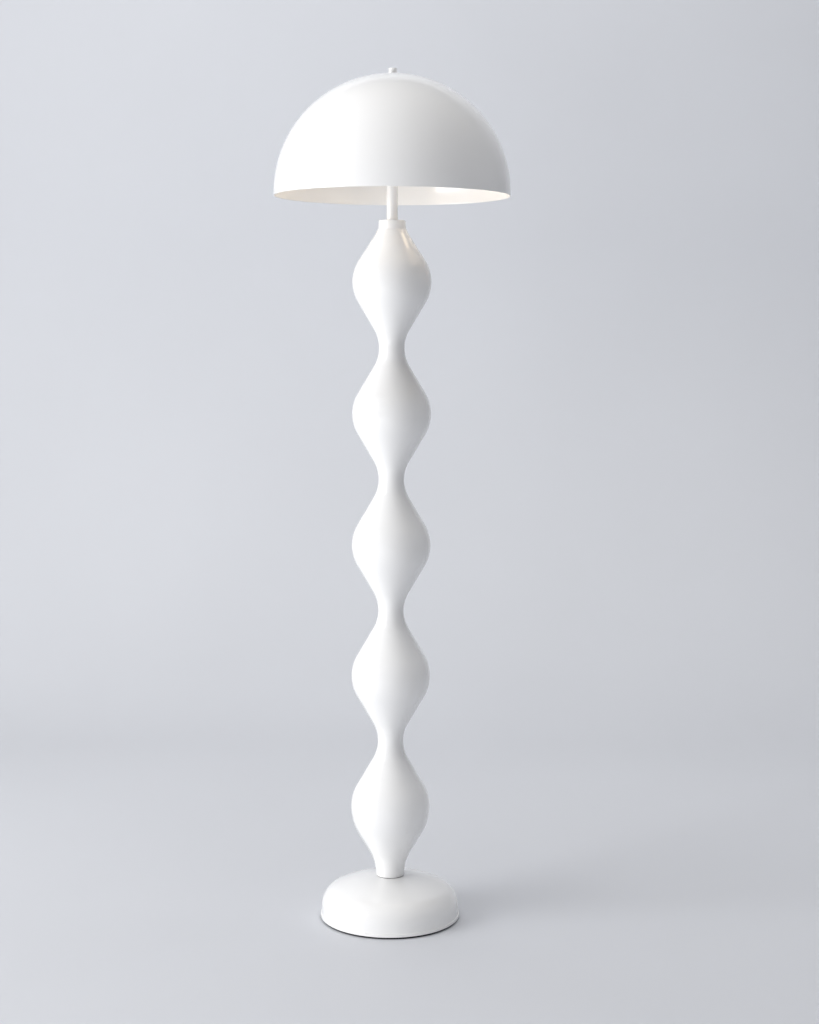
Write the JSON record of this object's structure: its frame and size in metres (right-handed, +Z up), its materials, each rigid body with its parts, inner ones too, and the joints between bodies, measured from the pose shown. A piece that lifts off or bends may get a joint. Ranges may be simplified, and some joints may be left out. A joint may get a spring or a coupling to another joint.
{
  "type": "mushroom floor lamp",
  "caption": "Gloss white floor lamp: low pebble base, column of turned beads, slim stem and hemispherical shade held by a finial over screw-in bulbs.",
  "frame": {"origin": "centre of the base's footprint on the floor", "axes": "+Z up along the column, -Y to the front, +Y to the back, where the cord bushing is"},
  "size_m": [0.4263, 0.4264, 1.5378],
  "materials": {
    "white_enamel": "gloss white enamel on spun or turned steel",
    "black_foam": "matte closed-cell foam",
    "zinc_steel": "zinc plated",
    "cast_iron": "sand cast, unpainted",
    "white_nylon": "moulded nylon",
    "dark_ring": "satin dark grey",
    "aluminium": "turned",
    "cable_sheath": "soft white sheath",
    "white_phenolic": "moulded",
    "black_phenolic": "moulded",
    "ceramic": "unglazed",
    "brass": "pressed",
    "nickel": "nickel plated, rolled",
    "bulb_plastic": "satin white",
    "opal_glass": "opal, lit warm white"
  },
  "bodies": {
    "lamp": {"foot_pad": "black_foam", "base_plate": "zinc_steel", "plate_screws": "zinc_steel", "ballast_weight": "cast_iron", "base_shell": "white_enamel", "cord_bushing": "white_nylon", "terminal_block": "white_nylon", "pipe_washer": "zinc_steel", "pipe_locknut": "zinc_steel", "foot_ring": "dark_ring", "collar_cap": "white_enamel", "centre_pipe_lower": "zinc_steel", "centre_pipe_upper": "zinc_steel", "pipe_coupler": "zinc_steel", "stem_tube": "white_enamel", "lamp_cable": "cable_sheath", "cluster_body": "white_enamel", "cluster_nut": "zinc_steel", "cluster_lid": "white_enamel", "splice_block": "white_nylon", "switch_body": "black_phenolic", "switch_nut": "brass", "nipple_nuts": "zinc_steel", "shade_rod": "zinc_steel", "rod_nuts": "zinc_steel", "shade_seat": "zinc_steel", "column_section_1": "white_enamel", "column_section_2": "white_enamel", "column_section_3": "white_enamel", "column_section_4": "white_enamel", "column_section_5": "white_enamel", "neck_ring_1": "aluminium", "neck_ring_2": "aluminium", "neck_ring_3": "aluminium", "neck_ring_4": "aluminium", "arm_nipple_left": "zinc_steel", "socket_lead_left": "cable_sheath", "socket_cup_left": "white_phenolic", "socket_insulator_left": "ceramic", "socket_contact_left": "brass", "socket_liner_left": "brass", "arm_nipple_right": "zinc_steel", "socket_lead_right": "cable_sheath", "socket_cup_right": "white_phenolic", "socket_insulator_right": "ceramic", "socket_contact_right": "brass", "socket_liner_right": "brass"},
    "shade": {"shade": "white_enamel", "finial_washer": "white_nylon"},
    "finial": {"finial": "white_enamel"},
    "switch_knob": {"switch_knob": "black_phenolic"},
    "bulb_left": {"bulb_cap_left": "nickel", "bulb_body_left": "bulb_plastic", "bulb_globe_left": "opal_glass"},
    "bulb_right": {"bulb_cap_right": "nickel", "bulb_body_right": "bulb_plastic", "bulb_globe_right": "opal_glass"}
  },
  "joints": [
    {"name": "shade_lift", "type": "slide", "parent": "lamp", "child": "shade", "axis": [0, 0, 1], "range_m": [0, 0.24]},
    {"name": "finial_turn", "type": "hinge", "parent": "shade", "child": "finial", "pos_m": [0, 0, 1.533], "axis": [0, 0, 1], "continuous": true},
    {"name": "switch_turn", "type": "hinge", "parent": "lamp", "child": "switch_knob", "pos_m": [0, 0.036, 1.36477], "axis": [0, 1, 0], "continuous": true},
    {"name": "bulb_left_turn", "type": "hinge", "parent": "lamp", "child": "bulb_left", "pos_m": [-0.105, 0, 1.36477], "axis": [-1, 0, 0], "continuous": true},
    {"name": "bulb_right_turn", "type": "hinge", "parent": "lamp", "child": "bulb_right", "pos_m": [0.105, 0, 1.36477], "axis": [1, 0, 0], "continuous": true}
  ]
}
